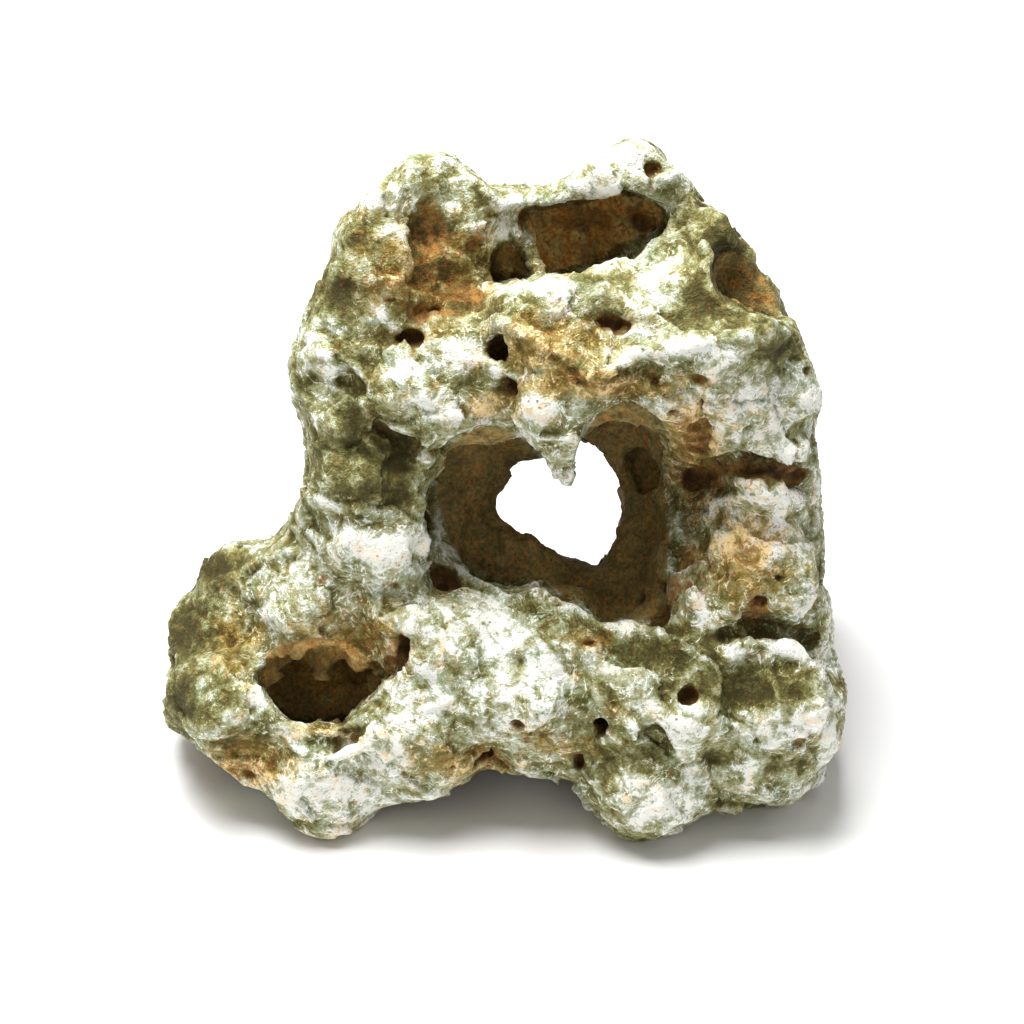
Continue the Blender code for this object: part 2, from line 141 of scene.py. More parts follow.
# Dents that break up the floors of the openings: pixel and depth of the middle, and radii in millimetres.
SCOOPS = (
    ((640, 222), 12, (8, 8, 7)), ((612, 236), 8, (7, 8, 6)), ((580, 226), 14, (8, 7, 7)),
    ((566, 252), 6, (7, 6, 6)), ((596, 208), 20, (7, 5, 5)), ((544, 232), 14, (6, 7, 6)),
    ((292, 668), -36, (9, 7, 7)), ((326, 660), -38, (8, 7, 7)), ((354, 676), -33, (7, 8, 7)),
    ((312, 696), -28, (10, 8, 6)), ((748, 276), 6, (7, 7, 6)), ((762, 298), 4, (5, 6, 5)),
    ((650, 560), 2, (7, 8, 8)), ((640, 470), 12, (7, 9, 8)), ((464, 480), -4, (6, 9, 8)),
)

# Pits in the face: the pixel of each, and in millimetres its half width, half height and depth.
PITS = (
    ((500, 350), (4.4, 4.4, 10)), ((513, 385), (3.2, 3.6, 8)), ((445, 580), (5.6, 5.0, 9)),
    ((602, 728), (3.6, 4.0, 9)), ((580, 762), (2.0, 3.4, 5)), ((690, 695), (3.4, 3.4, 6)),
    ((412, 338), (4.4, 2.6, 4)), ((403, 340), (2.4, 2.4, 5)), ((655, 170), (2.6, 2.6, 4)),
    ((615, 162), (1.6, 1.4, 2.5)), ((612, 325), (6.0, 3.0, 3)), ((403, 648), (2.4, 5.0, 7)),
    ((390, 668), (4.4, 3.4, 4)), ((485, 755), (2.4, 2.0, 4)), ((476, 762), (1.6, 1.6, 3)),
    ((494, 748), (1.8, 1.4, 3)), ((452, 766), (1.5, 1.5, 3)), ((400, 766), (1.6, 1.2, 2)),
    ((760, 605), (3.4, 2.6, 4)), ((780, 580), (1.8, 1.4, 3)), ((590, 642), (3.0, 2.0, 3)),
    ((704, 512), (1.4, 1.4, 2.5)), ((720, 486), (2.2, 1.8, 3)), ((700, 425), (4.6, 3.4, 4)),
    ((690, 448), (2.2, 1.6, 3)), ((645, 225), (4.0, 3.0, 4)), ((517, 727), (2.4, 1.6, 4)),
    ((524, 738), (1.4, 1.0, 2)), ((560, 712), (1.4, 1.0, 2)), ((520, 664), (1.8, 1.0, 2)),
    ((425, 244), (2.4, 2.0, 2)), ((474, 246), (3.0, 2.4, 2.5)), ((436, 310), (3.0, 1.6, 2.5)),
    ((466, 310), (2.2, 1.4, 2)), ((392, 300), (2.4, 1.6, 2)), ((325, 578), (2.0, 1.2, 2)),
    ((395, 585), (1.8, 1.4, 2)), ((452, 540), (1.2, 1.0, 2)), ((548, 330), (1.2, 1.2, 2)),
    ((565, 352), (1.2, 1.0, 2)), ((700, 380), (3.0, 1.8, 3)), ((672, 412), (2.0, 1.6, 3)),
    ((660, 590), (3.6, 3.0, 4)), ((640, 600), (3.0, 2.4, 4)), ((560, 600), (2.2, 1.8, 3)),
    ((700, 624), (1.8, 2.4, 4)), ((596, 640), (1.4, 1.4, 2)), ((700, 672), (1.6, 1.2, 2)),
    ((750, 430), (2.0, 1.4, 2)), ((795, 445), (1.8, 1.6, 3)), ((808, 372), (2.0, 1.6, 3)),
    ((800, 745), (2.6, 1.8, 2)), ((814, 738), (1.6, 1.4, 2)), ((745, 700), (1.0, 0.8, 1.5)),
    ((448, 170), (1.4, 1.2, 2)), ((462, 192), (1.2, 1.2, 1.5)), ((372, 260), (1.4, 1.2, 2)),
    ((230, 640), (2.4, 2.0, 2)), ((205, 690), (2.0, 2.4, 2)), ((250, 775), (3.0, 2.0, 2)),
    ((330, 765), (2.0, 1.4, 2)), ((360, 742), (1.6, 1.4, 2)),
)
GROOVES = {
    "above_lobe": (4.4, ((694, 478), (716, 464), (745, 462), (775, 470), (800, 480), (835, 492))),
    "below_lobe": (3.2, ((712, 638), (745, 628), (780, 630), (810, 640), (836, 664))),
    "crack_left": (1.2, ((372, 300), (366, 324), (380, 352), (392, 372))),
    "crack_column": (1.2, ((420, 356), (408, 388), (414, 430), (402, 470))),
    "under_lobe_high": (2.0, ((700, 404), (706, 430), (700, 452))),
}

# Where the face is coloured: the pixel in the middle of each patch, its half width and half height in
# pixels, and how strong it is. Their edges are broken up by noise in the material.
# Chalky crust; the broad patches of the first two lines also pale the lower bar, feet and lobe as painted
# light.
CHALK_AND_LIT_PATCHES = (
    (540, 670, 130, 52, 0.65), (400, 560, 90, 40, 0.5), (360, 790, 90, 50, 0.6), (700, 760, 70, 60, 0.65),
    (780, 715, 60, 70, 0.7), (768, 520, 50, 40, 0.7), (760, 400, 60, 40, 0.5),
    (400, 196, 24, 18, 0.9), (396, 226, 18, 13, 1.0), (350, 268, 22, 16, 0.4), (455, 198, 14, 16, 0.9),
    (505, 222, 12, 26, 1.2), (480, 228, 16, 12, 0.6), (442, 158, 16, 6, 0.4), (365, 318, 18, 12, 0.6),
    (322, 388, 14, 34, 0.9), (338, 330, 24, 12, 0.5), (410, 368, 24, 12, 1.0), (466, 356, 28, 16, 1.1),
    (425, 406, 24, 16, 1.0), (472, 410, 26, 14, 1.0), (492, 378, 10, 22, 1.1), (530, 287, 34, 8, 1.2),
    (560, 306, 16, 22, 1.0), (560, 342, 22, 12, 0.7), (615, 352, 34, 10, 1.2), (640, 332, 30, 12, 1.0),
    (705, 346, 46, 12, 1.0), (650, 268, 34, 14, 0.8), (655, 300, 24, 12, 1.0), (790, 388, 26, 22, 0.7),
    (745, 402, 48, 20, 1.1), (780, 436, 22, 18, 0.6), (716, 440, 14, 14, 0.7), (312, 332, 12, 30, 0.6),
    (345, 536, 28, 13, 1.2), (388, 546, 54, 14, 1.3), (330, 506, 16, 10, 0.8), (420, 548, 34, 14, 1.1),
    (300, 566, 26, 10, 0.8), (440, 515, 12, 32, 0.9), (346, 592, 30, 14, 0.6), (330, 622, 22, 24, 0.6),
    (266, 622, 26, 22, 0.7), (432, 602, 14, 10, 0.7), (500, 628, 22, 34, 1.3), (474, 600, 22, 18, 0.5),
    (478, 692, 20, 12, 1.0), (520, 690, 24, 9, 1.0), (548, 694, 14, 8, 0.9), (610, 682, 12, 8, 0.7),
    (430, 702, 34, 14, 0.8), (396, 726, 30, 14, 0.8), (382, 762, 26, 18, 0.9), (346, 788, 20, 16, 0.9),
    (300, 796, 18, 16, 1.0), (398, 800, 32, 10, 0.9), (434, 790, 22, 12, 0.6), (462, 738, 24, 10, 0.7),
    (350, 746, 22, 12, 0.9), (258, 702, 9, 16, 1.4), (285, 735, 18, 8, 0.8), (640, 706, 26, 8, 0.9),
    (690, 722, 28, 8, 0.9), (650, 742, 16, 16, 0.6), (690, 772, 22, 20, 1.0), (668, 796, 22, 20, 1.2),
    (650, 806, 26, 18, 1.2), (668, 830, 18, 12, 0.9), (748, 768, 8, 26, 1.3), (766, 746, 18, 6, 1.2),
    (804, 722, 26, 16, 1.2), (828, 745, 12, 34, 1.0), (830, 700, 10, 18, 0.9), (792, 790, 26, 10, 0.7),
    (795, 654, 26, 9, 1.0), (786, 676, 10, 8, 1.0), (760, 499, 34, 7, 1.2), (712, 514, 9, 16, 1.0),
    (802, 532, 12, 22, 0.8), (700, 607, 7, 16, 1.4), (612, 160, 22, 16, 0.8), (600, 190, 14, 10, 0.8),
    (676, 208, 14, 12, 0.6), (690, 650, 14, 12, 0.7), (738, 702, 8, 6, 0.8), (530, 440, 16, 12, 0.6),
    (545, 415, 22, 14, 0.8), (590, 392, 26, 6, 0.6), (574, 640, 24, 8, 0.5), (448, 655, 24, 12, 0.5),
    (548, 655, 14, 10, 0.4), (240, 690, 8, 26, 0.4), (420, 470, 12, 22, 0.4), (372, 398, 14, 8, 0.6),
    (350, 372, 18, 8, 0.7), (600, 742, 20, 8, 0.3), (520, 745, 14, 8, 0.5), (625, 775, 14, 20, 0.4),
)
# Olive stone; the broad patches of the first two lines also darken the upper face as painted shade.
OLIVE_AND_SHADED_PATCHES = (
    (350, 430, 60, 100, 0.5), (760, 300, 60, 70, 0.7), (205, 640, 50, 90, 0.5), (430, 230, 70, 90, 0.5),
    (580, 320, 130, 45, 0.3),
    (330, 292, 30, 40, 1.0), (384, 172, 28, 14, 0.6), (420, 172, 14, 14, 0.4), (356, 240, 22, 18, 0.8),
    (342, 430, 36, 44, 0.9), (392, 470, 46, 46, 0.9), (400, 440, 30, 40, 0.6), (202, 566, 42, 24, 1.6),
    (188, 632, 22, 34, 1.1), (184, 700, 20, 34, 1.0), (222, 650, 18, 20, 0.5), (232, 745, 34, 20, 0.5),
    (556, 632, 46, 18, 0.8), (640, 652, 46, 20, 1.0), (762, 690, 62, 20, 1.6), (712, 684, 34, 20, 1.1),
    (620, 756, 40, 26, 0.7), (596, 690, 30, 20, 0.6), (716, 752, 34, 22, 0.9), (784, 762, 30, 20, 0.9),
    (724, 232, 28, 30, 1.5), (748, 292, 40, 26, 1.4), (772, 352, 24, 14, 1.1), (660, 146, 14, 8, 0.8),
    (696, 212, 24, 26, 0.8), (520, 606, 26, 14, 0.6), (700, 300, 22, 30, 0.9), (590, 282, 26, 10, 0.6),
    (730, 805, 34, 10, 0.9), (640, 836, 22, 10, 0.6), (470, 640, 14, 26, 0.4), (530, 715, 26, 10, 0.4),
    (316, 455, 12, 40, 0.7), (340, 716, 34, 12, 0.5), (420, 755, 14, 14, 0.3), (300, 828, 20, 12, 0.5),
)
RUSTY = (
    (432, 214, 22, 22, 0.8), (476, 236, 16, 18, 1.0), (432, 246, 24, 14, 1.0), (384, 286, 34, 12, 0.7),
    (460, 296, 44, 14, 1.0), (424, 314, 40, 16, 0.9), (352, 300, 18, 16, 0.5), (412, 338, 24, 9, 1.3),
    (404, 356, 12, 8, 0.8), (612, 324, 22, 10, 1.2), (598, 304, 18, 8, 0.7), (645, 224, 24, 12, 0.9),
    (580, 226, 70, 34, 1.2), (548, 340, 12, 16, 0.6), (560, 388, 30, 12, 0.4), (566, 478, 7, 10, 1.4),
    (610, 390, 60, 10, 0.5), (690, 436, 26, 32, 1.0), (700, 478, 40, 14, 1.2), (765, 472, 50, 12, 1.4),
    (690, 545, 14, 60, 0.8), (744, 560, 40, 46, 0.75), (762, 602, 24, 14, 1.1), (670, 590, 44, 26, 1.0),
    (560, 588, 60, 16, 0.8), (322, 680, 34, 22, 1.3), (290, 680, 30, 26, 0.7), (400, 652, 18, 16, 1.1),
    (590, 641, 12, 7, 1.1), (690, 694, 14, 12, 1.2), (602, 728, 10, 10, 1.1), (518, 728, 11, 8, 1.2),
    (526, 738, 8, 5, 1.0), (485, 755, 18, 12, 1.0), (452, 766, 8, 6, 0.8), (250, 776, 26, 14, 0.6),
    (808, 742, 18, 10, 0.7), (446, 582, 18, 14, 1.1), (388, 585, 14, 7, 0.8), (322, 578, 14, 8, 0.8),
    (700, 382, 16, 10, 1.0), (672, 412, 18, 22, 0.7), (500, 352, 14, 12, 0.9), (514, 386, 14, 12, 1.2),
    (465, 372, 18, 8, 0.6), (558, 706, 8, 5, 0.8), (404, 768, 8, 6, 0.8), (380, 760, 6, 5, 0.7),
    (655, 170, 10, 9, 0.9), (580, 764, 6, 12, 1.0), (430, 455, 14, 8, 0.6), (345, 772, 14, 8, 0.5),
    (365, 620, 14, 12, 0.4), (600, 520, 120, 110, 0.35), (480, 500, 50, 70, 0.5), (720, 500, 60, 20, 0.5),
    (598, 652, 12, 8, 0.6), (786, 582, 12, 8, 0.5), (745, 270, 20, 16, 0.4), (570, 735, 14, 6, 0.4),
)
TANNED = (
    (548, 344, 60, 34, 0.8), (352, 642, 60, 36, 0.7), (250, 764, 40, 26, 1.1), (742, 560, 50, 56, 0.65),
    (600, 384, 80, 14, 1.1), (500, 404, 40, 18, 0.6), (556, 742, 44, 18, 0.5), (460, 762, 60, 18, 0.7),
    (430, 270, 70, 50, 0.8), (235, 640, 26, 40, 0.6), (690, 450, 30, 60, 0.9), (330, 730, 50, 14, 0.5),
    (596, 640, 30, 16, 0.6), (620, 712, 20, 10, 0.4), (700, 272, 16, 16, 0.4), (380, 830, 60, 14, 0.5),
)

# How cave-like each opening's wall is, 0 for an ochre painted lighter, as painted light, and 1 for dark
# brown, and where the tooth hangs in front of them.
WALLS = {"heart": 1.0, "pocket": 0.0, "pocket_side": 0.6, "notch": 1.0, "cup": 0.5}
WALL_EDGE = 14.0
TOOTH = ((548, 405, 26, 22, 1.6), (560, 445, 13, 34, 1.6))
TOOTH_DEPTHS = (-24.0, -18.0)

# How near in metres two corners of the solid count as one.
MERGE_DISTANCE = 1e-6

# How fine the meshes are and how far smoothing's loss is made up, in millimetres, and how many
# triangles the finished stone may have.
FINE_VOXEL = 0.9
PIT_VOXEL = 0.72
SKIN = 0.9
MOST_TRIANGLES = 196000

# The weathering: the seed of its bends, and in millimetres the size and height of each kind of relief.
NOISE_SEED = 1
BEND_SIZE = 9.0
BEND = 2.5
LUMP_SIZE, LUMP_HEIGHT = 12.0, 1.0
SCALLOP_SIZE, SCALLOP_HEIGHT = 9.5, 1.3
DIMPLE_SIZE, DIMPLE_HEIGHT = 3.6, 0.4
GRAIN_SIZE, GRAIN_HEIGHT = 2.0, 0.30
BIG_CHIP, BIG_CHIP_SHARE = 14.0, 0.12
SMALL_CHIP, SMALL_CHIP_SHARE = 6.0, 0.07
MIDDLE_OF_CELLS = 0.45
TILT_SPREAD = 37.0
CALM_FOOT = 4.0

# The rays that find how shut in a point is: how many, how long, and how far off the surface they start.
RAYS = 14
REACH = 26.0
RAY_START = 0.6
FADE_WITH_DISTANCE = 0.7

# Where the face's patches end, as the cosine between the surface's normal and the way to the viewpoint,
# and the sizes in millimetres of the blotches that take over on the hidden sides.
UNSEEN, SEEN = -0.15, 0.2
WIDE_SIZE, WIDE_OFFSET = 30.0, Vector((3.0, 5.0, 7.0))
BLOTCH_SIZE, BLOTCH_OFFSET = 22.0, Vector((31.0, 15.0, 9.0))

# How many steps along the mesh a point's surroundings reach, and the most in millimetres that counts.
BULGE_ROUNDS = 6
MOST_BULGE = 1.5


def sight_ray(pixel):
    """The way from the viewpoint through a pixel, one millimetre deep."""
    half = PICTURE_SIDE / 2
    across = (pixel[0] - half) / half * HALF_WIDTH_AT_AIM / EYE_DISTANCE
    up = (half - pixel[1]) / half * HALF_WIDTH_AT_AIM / EYE_DISTANCE
    return FORWARD + Vector((across, 0.0, 0.0)) + PICTURE_UP * up


def sight(pixel, depth):
    """The point in millimetres where a pixel's sight line crosses the upright plane y = depth."""
    ray = sight_ray(pixel)
    return EYE + ray * ((depth - EYE.y) / ray.y)


def pixels_of(points):
    """Where points in millimetres are seen in the picture."""
    offset = points - np.array(EYE)
    depth = offset @ np.array(FORWARD)
    half = PICTURE_SIDE / 2
    scale = half * EYE_DISTANCE / HALF_WIDTH_AT_AIM / depth
    return half + offset[:, 0] * scale, half - offset @ np.array(PICTURE_UP) * scale


def arrays_of(builder):
    """The points and the triangles of a bmesh, which is freed."""
    builder.verts.index_update()
    points = np.array([vertex.co[:] for vertex in builder.verts])
    faces = np.array([[vertex.index for vertex in face.verts] for face in builder.faces])
    builder.free()
    return points, faces


def ball(detail):
    """A sphere of radius 1."""
    builder = bmesh.new()
    bmesh.ops.create_icosphere(builder, subdivisions=detail, radius=1.0)
    return arrays_of(builder)


ROUND_BALL = ball(3)
SMALL_BALL = ball(2)


def blob(place, radii):
    """An ellipsoid with its centre and axes as place, in millimetres, as points and triangles."""
    points, faces = ROUND_BALL
    matrix = np.array(place @ Matrix.Diagonal((*radii, 1.0)))
    return points @ matrix[:3, :3].T + matrix[:3, 3], faces


def bead(centre, radius):
    """A small sphere, one of many that overlap along a line."""
    points, faces = SMALL_BALL
    return points * radius + np.array(centre), faces


def sight_cone(near, fars, pixels):
    """The closed solid inside an outline of sight lines, from one depth back to a leaning end."""
    low, high = fars
    heights = [pixel[1] for pixel in pixels]
    top, bottom = min(heights), max(heights)
    builder = bmesh.new()
    front = [builder.verts.new(sight(pixel, near)) for pixel in pixels]
    back = []
    for pixel in pixels:
        share = (bottom - pixel[1]) / (bottom - top)
        back.append(builder.verts.new(sight(pixel, low + (high - low) * share)))
    count = len(pixels)
    builder.faces.new(front[::-1])
    builder.faces.new(back)
    for i in range(count):
        j = (i + 1) % count
        builder.faces.new((front[i], front[j], back[j], back[i]))
    bmesh.ops.triangulate(builder, faces=builder.faces[:])
    bmesh.ops.recalc_face_normals(builder, faces=builder.faces[:])
    return arrays_of(builder)


def chain(points, step=1.0):
    """Centres and radii about a step apart along a line of them."""
    for (a, a_radius), (b, b_radius) in zip(points, points[1:]):
        count = max(1, round((b - a).length / step))
        for i in range(count):
            yield a.lerp(b, i / count), a_radius + (b_radius - a_radius) * i / count
    yield points[-1]


def object_of(name, shapes):
    """One object out of closed shapes, each points in millimetres and triangles."""
    starts = np.cumsum([0] + [len(points) for points, _ in shapes[:-1]])
    points = np.concatenate([points for points, _ in shapes]) * MM
    faces = np.concatenate([faces + start for (_, faces), start in zip(shapes, starts)])
    mesh = bpy.data.meshes.new(name)
    mesh.vertices.add(len(points))
    mesh.vertices.foreach_set("co", points.ravel())
    mesh.loops.add(faces.size)
    mesh.loops.foreach_set("vertex_index", faces.ravel())
    mesh.polygons.add(len(faces))
    mesh.polygons.foreach_set("loop_start", np.arange(0, faces.size, 3))
    mesh.update(calc_edges=True)
    obj = bpy.data.objects.new(name, mesh)
    bpy.context.scene.collection.objects.link(obj)
    return obj


def points_of(mesh):
    points = np.empty(len(mesh.vertices) * 3, np.float32)
    mesh.vertices.foreach_get("co", points)
    return points.reshape(-1, 3).astype(np.float64)


def normals_of(mesh):
    normals = np.empty(len(mesh.vertices) * 3, np.float32)
    mesh.vertex_normals.foreach_get("vector", normals)
    return normals.reshape(-1, 3).astype(np.float64)


def shape_of(obj):
    """An object's points in millimetres and its triangles."""
    mesh = obj.data
    mesh.calc_loop_triangles()
    faces = np.empty(len(mesh.loop_triangles) * 3, np.int32)
    mesh.loop_triangles.foreach_get("vertices", faces)
    return points_of(mesh) / MM, faces.reshape(-1, 3)


class Face:
    """The surface of a body as it is met by the sight lines."""

    def __init__(self, body):
        self.tree = BVHTree.FromObject(body, bpy.context.evaluated_depsgraph_get())

    def at(self, pixel):
        """The point in millimetres and the normal that a pixel shows, or None beside the body."""
        point, normal, _, _ = self.tree.ray_cast(EYE * MM, sight_ray(pixel).normalized())
        return (point / MM, normal) if point else None

    def place(self, pixel):
        """Axes at the point that a pixel shows, with z out of the surface."""
        point, normal = self.at(pixel)
        across = Vector((1.0, 0.0, 0.0))
        across = (across - normal * across.dot(normal)).normalized()
        axes = Matrix((across, normal.cross(across), normal)).transposed().to_4x4()
        return Matrix.Translation(point) @ axes

    def run(self, pixels, radius):
        """Centres and radii along the surface through some pixels."""
        found = [self.at(pixel) for pixel in pixels]
        return chain([(hit[0], radius) for hit in found if hit])


def remesh(obj, voxel):
    modifier = obj.modifiers.new("Remesh", "REMESH")
    modifier.mode = "VOXEL"
    modifier.voxel_size = voxel * MM
    modifier.use_smooth_shade = True


def smooth(obj, repeats):
    modifier = obj.modifiers.new("Smooth", "SMOOTH")
    modifier.factor = 0.5
    modifier.iterations = repeats


def settle(obj):
    """Turns what an object's modifiers make into its own mesh."""
    graph = bpy.context.evaluated_depsgraph_get()
    mesh = bpy.data.meshes.new_from_object(obj.evaluated_get(graph))
    obj.modifiers.clear()
    obj.data = mesh


def combine(obj, cutter, operation):
    """Applies a Boolean and deletes its cutter."""
    modifier = obj.modifiers.new(operation, "BOOLEAN")
    modifier.object = cutter
    modifier.operation = operation
    modifier.solver = "MANIFOLD"
    settle(obj)
    bpy.data.objects.remove(cutter)


def merged_copy(source):
    """The solid with its corners joined, because the frame gives each triangle its own."""
    builder = bmesh.new()
    builder.from_mesh(source.data)
    bmesh.ops.remove_doubles(builder, verts=builder.verts, dist=MERGE_DISTANCE)
    mesh = bpy.data.meshes.new("limestone_rock")
    builder.to_mesh(mesh)
    builder.free()
    stone = bpy.data.objects.new("limestone_rock", mesh)
    bpy.context.scene.collection.objects.link(stone)
    return stone


def fine_stone(source):
    """The stone at full detail: the solid's own shape, with its rims and edges drawn sharper."""
    stone = merged_copy(source)
    rounded = stone.modifiers.new("Subdivision", "SUBSURF")
    rounded.levels = 1
    rounded.render_levels = 1
    remesh(stone, FINE_VOXEL)
    smooth(stone, 3)
    fatter = stone.modifiers.new("Displace", "DISPLACE")
    fatter.strength = SKIN * MM
    fatter.mid_level = 0.0
    settle(stone)
    face = Face(stone)
    shapes = [shape_of(stone)]
    for radius, pixels in RIDGES.values():
        shapes += [bead(centre, size) for centre, size in face.run(pixels, radius)]
    bpy.data.objects.remove(stone)
    stone = object_of("limestone_rock", shapes)
    remesh(stone, FINE_VOXEL)
    settle(stone)
    edge = sight_cone(OUTLINE_DEPTHS[0], (OUTLINE_DEPTHS[1],) * 2, OUTLINE)
    combine(stone, object_of("outline", [edge]), "INTERSECT")
    return stone


def openings_for(stone):
    """The cutter of the openings, the grooves and the dents in the openings' floors."""
    face = Face(stone)
    shapes = [sight_cone(near, (low, high), pixels) for near, low, high, pixels in MOUTHS.values()]
    for radius, pixels in GROOVES.values():
        shapes += [bead(centre, size) for centre, size in face.run(pixels, radius)]
    shapes += [blob(Matrix.Translation(sight(pixel, depth)), radii) for pixel, depth, radii in SCOOPS]
    openings = object_of("openings", shapes)
    remesh(openings, FINE_VOXEL)
    return openings


def pits_for(stone):
    """The cutter of the pits."""
    face = Face(stone)
    pits = object_of("pits", [blob(face.place(pixel), radii) for pixel, radii in PITS if face.at(pixel)])
    remesh(pits, PIT_VOXEL)
    return pits


def with_spurs(stone):
    """The stone with the tooth, the blade and the spur joined on."""
    shapes = [shape_of(stone)]
    for points in SPURS.values():
        run = chain([(sight(pixel, depth), radius) for pixel, depth, radius in points])
        shapes += [bead(centre, size) for centre, size in run]
    bpy.data.objects.remove(stone)
    stone = object_of("limestone_rock", shapes)
    remesh(stone, FINE_VOXEL)
    smooth(stone, 1)
    settle(stone)
    return stone


def facets(point, size):
    """The height of a chipped surface: flat faces of that size, each tilted its own way."""
    centres = noise.voronoi(point / size)[1]
    offset = point / size - centres[0]
    return size * offset.dot(noise.cell_vector(centres[0] * TILT_SPREAD))


def weathering(p):
    """How far the surface stands out at a point, in millimetres."""
    bend = Vector((p.y, p.z, p.x)) / BEND_SIZE
    q = p + noise.noise_vector(bend) * BEND
    lumps = noise.fractal(p / LUMP_SIZE, 1.0, 2.0, 3)
    scallops = noise.voronoi(q / SCALLOP_SIZE)[0][0] - MIDDLE_OF_CELLS
    dimples = noise.voronoi(q / DIMPLE_SIZE)[0][0] - MIDDLE_OF_CELLS
    grain = noise.fractal(p / GRAIN_SIZE, 1.0, 2.0, 2)
    chips = BIG_CHIP_SHARE * facets(q, BIG_CHIP) + SMALL_CHIP_SHARE * facets(q, SMALL_CHIP)
    height = LUMP_HEIGHT * lumps + chips
    height += SCALLOP_HEIGHT * scallops
    height += DIMPLE_HEIGHT * dimples
    return height + GRAIN_HEIGHT * grain


def roughen(stone):
    """Weathers the surface, less and less towards the flat spots that it rests on."""
    noise.seed_set(NOISE_SEED)
    mesh = stone.data
    points = points_of(mesh)
    normals = normals_of(mesh)
    heights = np.array([weathering(Vector(point) / MM) for point in points])
    low = np.clip(points[:, 2] / MM / CALM_FOOT, 0.0, 1.0)
    points += normals * (heights * low * MM)[:, None]
    points[:, 2] = np.maximum(points[:, 2], 0.0)
    mesh.vertices.foreach_set("co", points.ravel())
    mesh.update()


def thin_out(stone):
    """Brings the mesh down to the number of triangles that it may have."""
    count = sum(len(face.vertices) - 2 for face in stone.data.polygons)
    if count > MOST_TRIANGLES:
        modifier = stone.modifiers.new("Decimate", "DECIMATE")
        modifier.ratio = MOST_TRIANGLES / count
        settle(stone)


def smoothstep(value, low, high):
    share = np.clip((value - low) / (high - low), 0.0, 1.0)
    return share * share * (3.0 - 2.0 * share)


def patched(table, across, down):
    """The strongest of a table's soft patches at each pixel."""
    total = np.zeros(len(across))
    for x, y, half_width, half_height, strength in table:
        apart = ((across - x) / half_width) ** 2 + ((down - y) / half_height) ** 2
        total = np.maximum(total, strength * np.exp(-apart))
    return total


def within(outline, across, down, edge):
    """1 inside an outline in pixels and 0 outside it, over that many pixels within the edge."""
    inside = np.zeros(len(across), bool)
    nearest = np.full(len(across), np.inf)
    for (ax, ay), (bx, by) in zip(outline, outline[1:] + outline[:1]):
        crosses = (ay > down) != (by > down)
        rise = by - ay if by != ay else 1.0
        inside ^= crosses & (across < (bx - ax) * (down - ay) / rise + ax)
        length = (bx - ax) ** 2 + (by - ay) ** 2
        share = np.clip(((across - ax) * (bx - ax) + (down - ay) * (by - ay)) / length, 0.0, 1.0)
        side = across - ax - share * (bx - ax)
        below = down - ay - share * (by - ay)
        nearest = np.minimum(nearest, np.hypot(side, below))
    return inside * smoothstep(nearest, 0.0, edge)


def inner_walls(points, across, down):
    """How far each point is an opening's wall and not the tooth in front of it, and how cave-like, that is
    how little painted light its wall gets.
    """
    walls = np.zeros(len(points))
    caves = np.zeros(len(points))
    for name, cave in WALLS.items():
        inside = within(MOUTHS[name][3], across, down, WALL_EDGE)
        caves = np.where(inside > walls, cave, caves)
        walls = np.maximum(walls, inside)
    tooth = patched(TOOTH, across, down) * (1.0 - smoothstep(points[:, 1], *TOOTH_DEPTHS))
    return walls * (1.0 - np.clip(tooth, 0.0, 1.0)), caves


def dome_of_rays():
    """Directions spread evenly over a half sphere, z out of the surface."""
    golden = math.pi * (3.0 - math.sqrt(5.0))
    rays = []
    for k in range(RAYS):
        rise = math.sqrt(1.0 - (k + 0.5) / RAYS)
        flat = math.sqrt(1.0 - rise * rise)
        rays.append((flat * math.cos(k * golden), flat * math.sin(k * golden), rise))
    return rays


def enclosed(stone, points, normals):
    """How shut in each point is: the share of short rays from it that meet the stone, the nearest most."""
    tree = BVHTree.FromObject(stone, bpy.context.evaluated_depsgraph_get())
    side = np.where(np.abs(normals[:, 2:3]) < 0.9, [[0.0, 0.0, 1.0]], [[1.0, 0.0, 0.0]])
    across = np.cross(side, normals)
    across /= np.linalg.norm(across, axis=1)[:, None]
    up = np.cross(normals, across)
    starts = points + normals * RAY_START
    result = np.zeros(len(points))
    for x, y, z in dome_of_rays():
        aims = across * x + up * y + normals * z
        for i, (start, aim) in enumerate(zip(starts.tolist(), aims.tolist())):
            distance = tree.ray_cast([v * MM for v in start], aim, REACH * MM)[3]
            if distance is not None:
                result[i] += 1.0 - FADE_WITH_DISTANCE * distance / (REACH * MM)
    return result / RAYS


def bulge(stone, points, normals, rounds):
    """How far each point stands out from those around it, in millimetres."""
    mesh = stone.data
    ends = np.empty(len(mesh.edges) * 2, np.int32)
    mesh.edges.foreach_get("vertices", ends)
    a, b = ends.reshape(-1, 2).T
    count = np.bincount(np.concatenate([a, b]), minlength=len(points))[:, None]
    around = points.copy()
    for _ in range(rounds):
        total = np.zeros_like(around)
        for axis in range(3):
            from_b = np.bincount(a, around[b, axis], len(points))
            from_a = np.bincount(b, around[a, axis], len(points))
            total[:, axis] = from_b + from_a
        around = total / count
    return ((points - around) * normals).sum(axis=1)


def blotches(points, size, offset):
    """A broad noise at each point, its features that many millimetres wide."""
    return np.array([noise.fractal(Vector(p) / size + offset, 1.0, 2.0, 2) for p in points.tolist()])


def give(mesh, name, values):
    """Keeps a value for each point of a mesh, for the material to read."""
    attribute = mesh.attributes.new(name, "FLOAT", "POINT")
    attribute.data.foreach_set("value", values.astype(np.float32))


